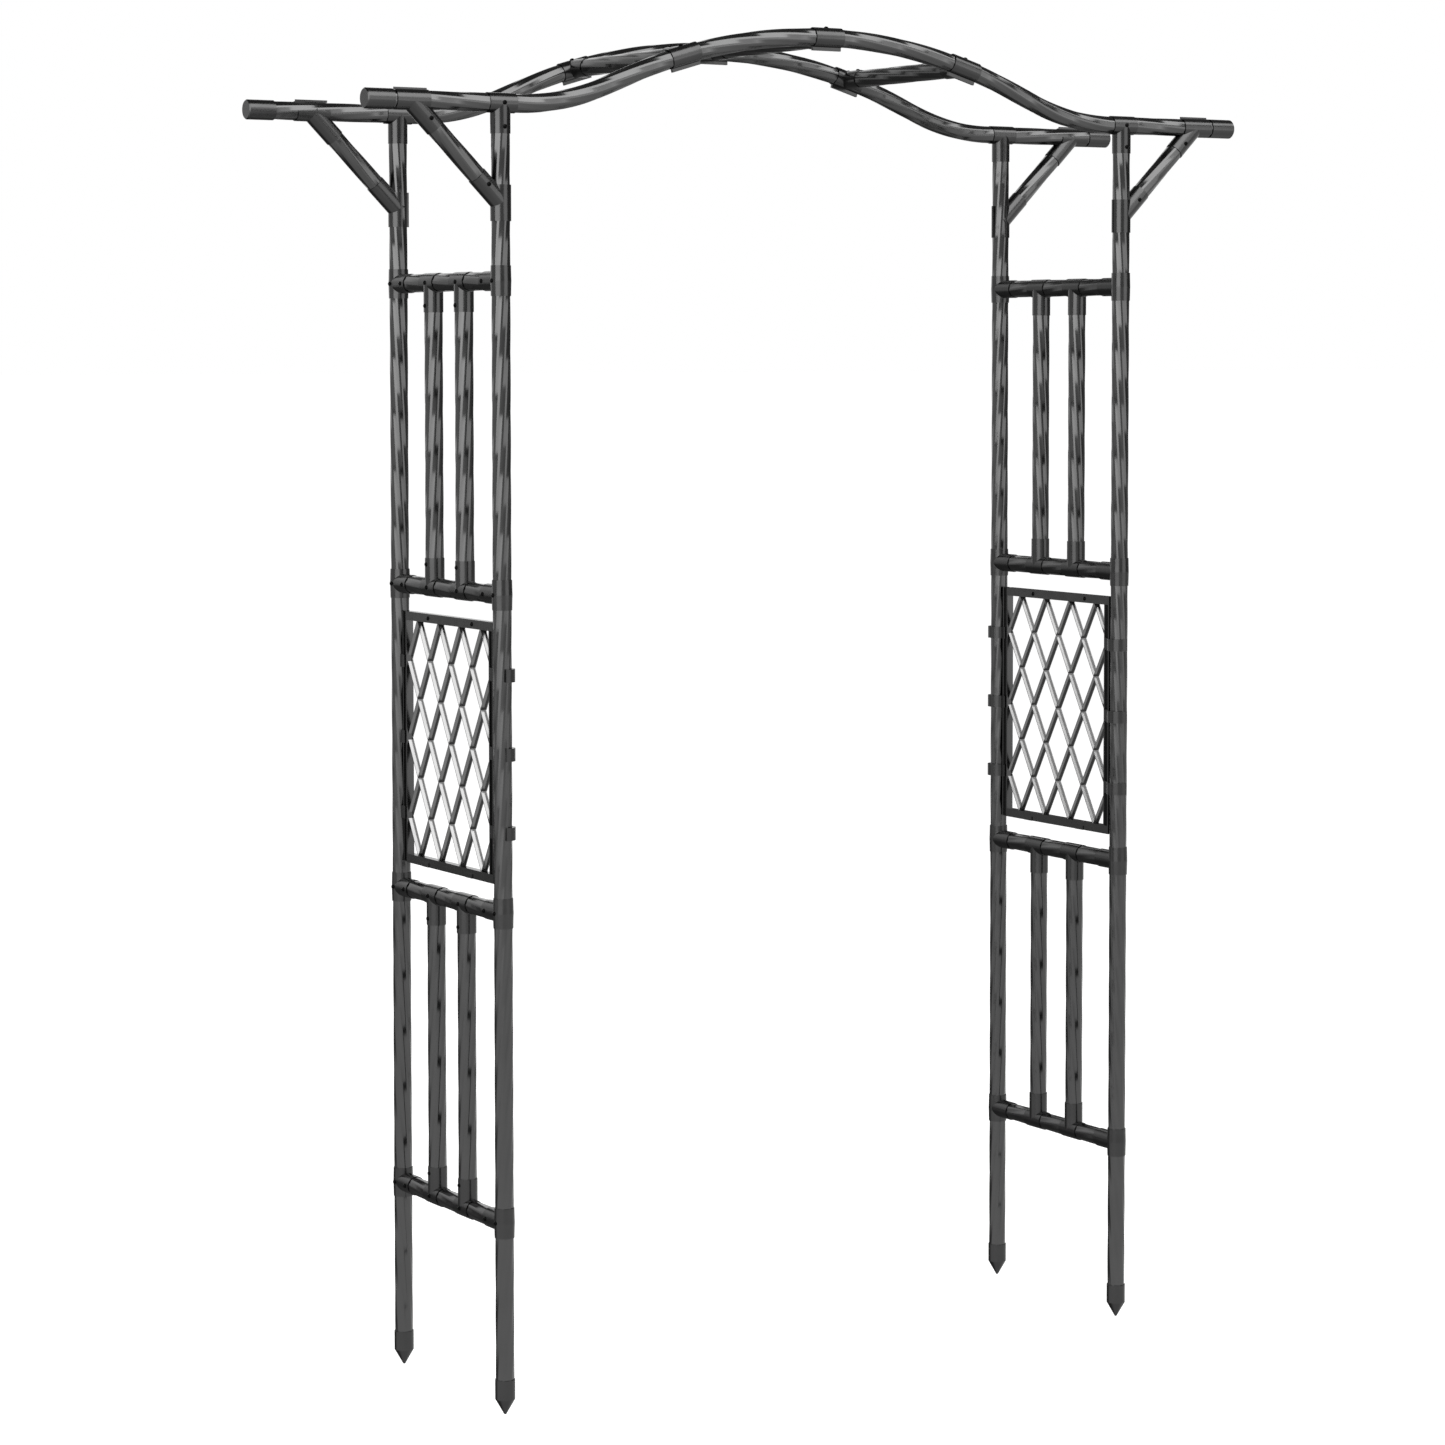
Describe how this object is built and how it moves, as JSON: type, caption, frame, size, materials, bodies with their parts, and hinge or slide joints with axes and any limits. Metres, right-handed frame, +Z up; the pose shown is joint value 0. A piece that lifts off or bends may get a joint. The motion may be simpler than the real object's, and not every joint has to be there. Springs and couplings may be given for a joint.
{
  "type": "garden trellis arch",
  "caption": "Dark grey metal garden arch: tall posts on ground spikes, railed sides with diamond lattice panels, and curved top tubes joined by cross ties.",
  "frame": {"origin": "on the ground under the middle of the arch's overall box", "axes": "+X across the passage to the right, +Y from the front of the arch to the back, +Z up"},
  "size_m": [1.646, 0.3888, 2.1389],
  "materials": {
    "tube": "semi-gloss dark charcoal powder coat on twisted eight-flat tube",
    "fitting": "satin dark charcoal coat on pressed fittings",
    "panel": "satin dark charcoal coat on flat bar",
    "lattice": "satin charcoal coat on thin angle strip",
    "screw": "black dome head"
  },
  "bodies": {
    "root": {"back_arch_tube": "tube", "back_tie_clamps": "fitting", "brace_back_left": "tube", "brace_back_right": "tube", "brace_front_left": "tube", "brace_front_right": "tube", "front_arch_tube": "tube", "front_tie_clamps": "fitting", "ground_spike_back_left": "fitting", "ground_spike_back_right": "fitting", "ground_spike_front_left": "fitting", "ground_spike_front_right": "fitting", "left_brace_brackets": "fitting", "left_cross_tie": "tube", "left_end_caps": "fitting", "left_lattice": "lattice", "left_lower_baluster_back": "tube", "left_lower_baluster_front": "tube", "left_lower_corner_tees": "fitting", "left_lower_rail_tees": "fitting", "left_panel_clips": "fitting", "left_panel_frame": "panel", "left_rail_1": "tube", "left_rail_2": "tube", "left_rail_3": "tube", "left_rail_4": "tube", "left_side_screws": "screw", "left_upper_baluster_back": "tube", "left_upper_baluster_front": "tube", "left_upper_corner_tees": "fitting", "left_upper_rail_tees": "fitting", "middle_cross_tie": "tube", "post_back_left": "tube", "post_back_right": "tube", "post_front_left": "tube", "post_front_right": "tube", "right_brace_brackets": "fitting", "right_cross_tie": "tube", "right_end_caps": "fitting", "right_lattice": "lattice", "right_lower_baluster_back": "tube", "right_lower_baluster_front": "tube", "right_lower_corner_tees": "fitting", "right_lower_rail_tees": "fitting", "right_panel_clips": "fitting", "right_panel_frame": "panel", "right_rail_1": "tube", "right_rail_2": "tube", "right_rail_3": "tube", "right_rail_4": "tube", "right_side_screws": "screw", "right_upper_baluster_back": "tube", "right_upper_baluster_front": "tube", "right_upper_corner_tees": "fitting", "right_upper_rail_tees": "fitting", "top_screws": "screw", "top_tee_back_left": "fitting", "top_tee_back_right": "fitting", "top_tee_front_left": "fitting", "top_tee_front_right": "fitting"}
  },
  "joints": []
}
